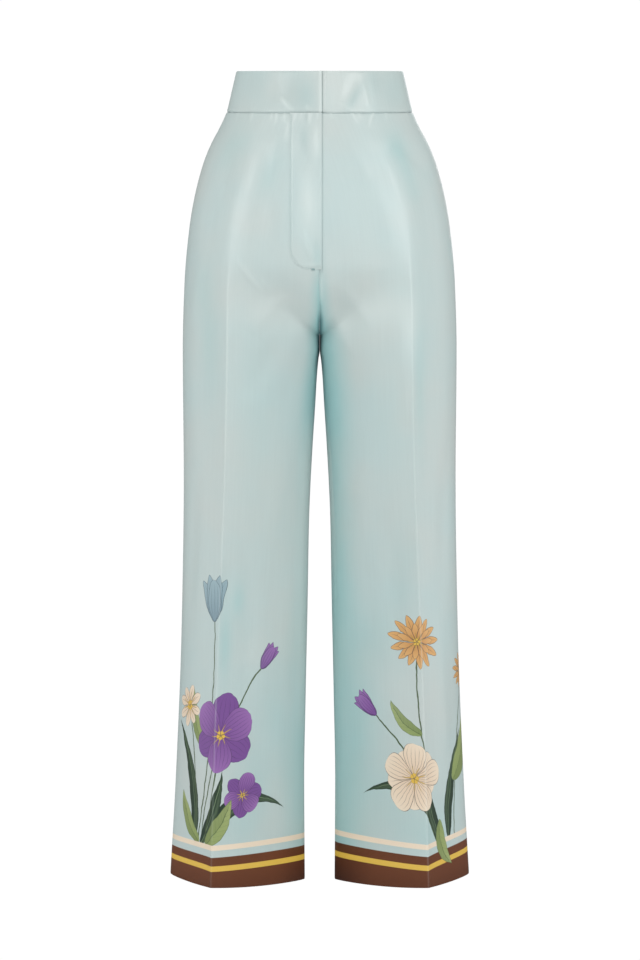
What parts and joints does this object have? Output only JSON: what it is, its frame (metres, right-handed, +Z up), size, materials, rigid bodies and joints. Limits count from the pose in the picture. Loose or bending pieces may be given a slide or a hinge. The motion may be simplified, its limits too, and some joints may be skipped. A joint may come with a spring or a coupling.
{
  "type": "trousers",
  "caption": "High-waisted straight-leg satin trousers, hollow as worn, with pressed creases, a shaped lapped waistband, a plain fly front and a banded hem.",
  "frame": {"origin": "middle of the waistband, halfway up it at the side seams and halfway between the two sides", "axes": "+Z up, out of the waist; -Y towards the front; +X towards the wearer's left"},
  "size_m": [0.3784, 0.2243, 1.0429],
  "materials": {
    "printed_satin": "satin, printed towards the hem",
    "plain_satin": "satin"
  },
  "bodies": {
    "root": {"front_right": "printed_satin", "front_left": "printed_satin", "back_right": "printed_satin", "back_left": "printed_satin", "waistband_right": "plain_satin", "waistband_left": "plain_satin", "waistband_back": "plain_satin", "fly": "plain_satin"}
  },
  "joints": []
}
